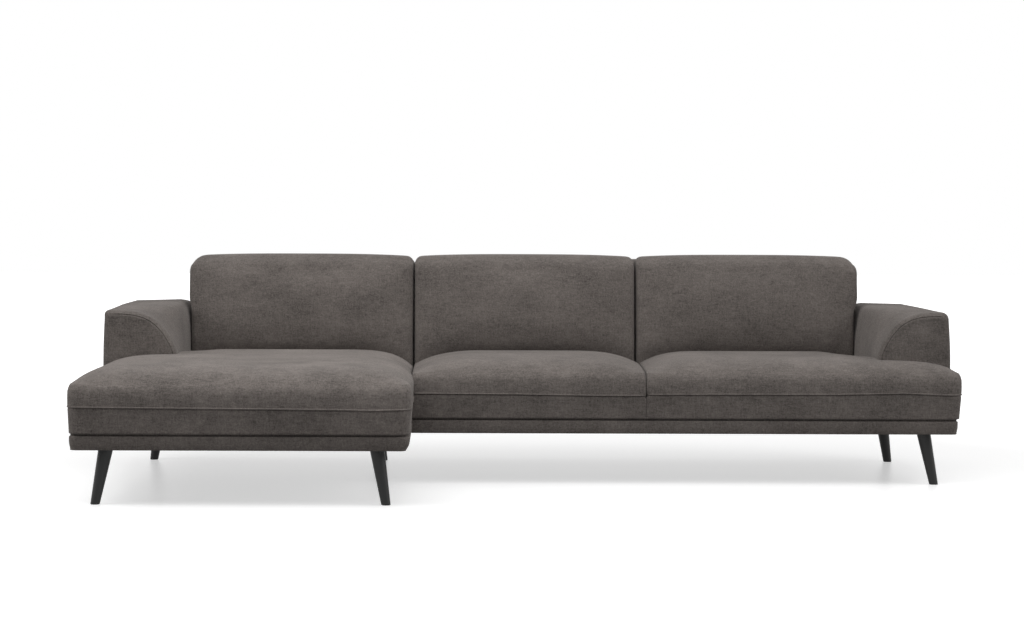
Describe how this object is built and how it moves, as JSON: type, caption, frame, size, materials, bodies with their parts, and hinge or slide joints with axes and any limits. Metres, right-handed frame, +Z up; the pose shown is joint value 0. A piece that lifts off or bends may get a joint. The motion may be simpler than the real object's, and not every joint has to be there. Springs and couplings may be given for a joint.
{
  "type": "sofa with chaise",
  "caption": "Low upholstered sofa with a left chaise, soft rolled arms set back from the seats, tall back cushions, a base band under a shadow groove and splayed black legs.",
  "frame": {"origin": "on the floor under the middle of the overall width and depth", "axes": "+X along the width towards the two-seat end, +Y towards the back, +Z up"},
  "size_m": [3.0528, 1.5999, 0.797],
  "materials": {
    "upholstery_fabric": "matte",
    "frame_timber": "matte",
    "seat_foam": "matte",
    "webbing": "matte",
    "dust_cloth": "matte",
    "steel": "satin",
    "black_wood": "satin"
  },
  "bodies": {
    "root": {"back_cushion_left": "upholstery_fabric", "back_cushion_centre": "upholstery_fabric", "back_cushion_right": "upholstery_fabric", "chaise_seat_cover": "upholstery_fabric", "centre_seat_cover": "upholstery_fabric", "right_seat_cover": "upholstery_fabric", "left_arm": "upholstery_fabric", "right_arm": "upholstery_fabric", "chaise_back": "upholstery_fabric", "sofa_back": "upholstery_fabric", "chaise_base_front": "upholstery_fabric", "chaise_base_rear": "upholstery_fabric", "chaise_base_left": "upholstery_fabric", "chaise_base_right": "upholstery_fabric", "sofa_base_front": "upholstery_fabric", "sofa_base_rear": "upholstery_fabric", "sofa_base_left": "upholstery_fabric", "sofa_base_right": "upholstery_fabric", "chaise_rail_front": "frame_timber", "chaise_rail_rear": "frame_timber", "chaise_rail_left": "frame_timber", "chaise_rail_right": "frame_timber", "chaise_rail_middle": "frame_timber", "sofa_rail_front": "frame_timber", "sofa_rail_rear": "frame_timber", "sofa_rail_left": "frame_timber", "sofa_rail_right": "frame_timber", "sofa_rail_middle": "frame_timber", "left_arm_panel": "frame_timber", "right_arm_panel": "frame_timber", "chaise_back_panel": "frame_timber", "sofa_back_panel": "frame_timber", "chaise_foam": "seat_foam", "centre_foam": "seat_foam", "right_foam": "seat_foam", "chaise_webbing": "webbing", "sofa_webbing": "webbing", "chaise_dust_cover": "dust_cloth", "sofa_dust_cover": "dust_cloth", "leg_chaise_front_left_plate": "steel", "leg_chaise_front_right_plate": "steel", "leg_chaise_rear_left_plate": "steel", "leg_chaise_rear_right_plate": "steel", "leg_sofa_front_plate": "steel", "leg_sofa_rear_plate": "steel", "leg_chaise_front_left_bolt": "steel", "leg_chaise_front_right_bolt": "steel", "leg_chaise_rear_left_bolt": "steel", "leg_chaise_rear_right_bolt": "steel", "leg_sofa_front_bolt": "steel", "leg_sofa_rear_bolt": "steel", "link_plate_front": "steel", "link_plate_rear": "steel", "leg_chaise_front_left": "black_wood", "leg_chaise_front_right": "black_wood", "leg_chaise_rear_left": "black_wood", "leg_chaise_rear_right": "black_wood", "leg_sofa_front": "black_wood", "leg_sofa_rear": "black_wood"}
  },
  "joints": []
}
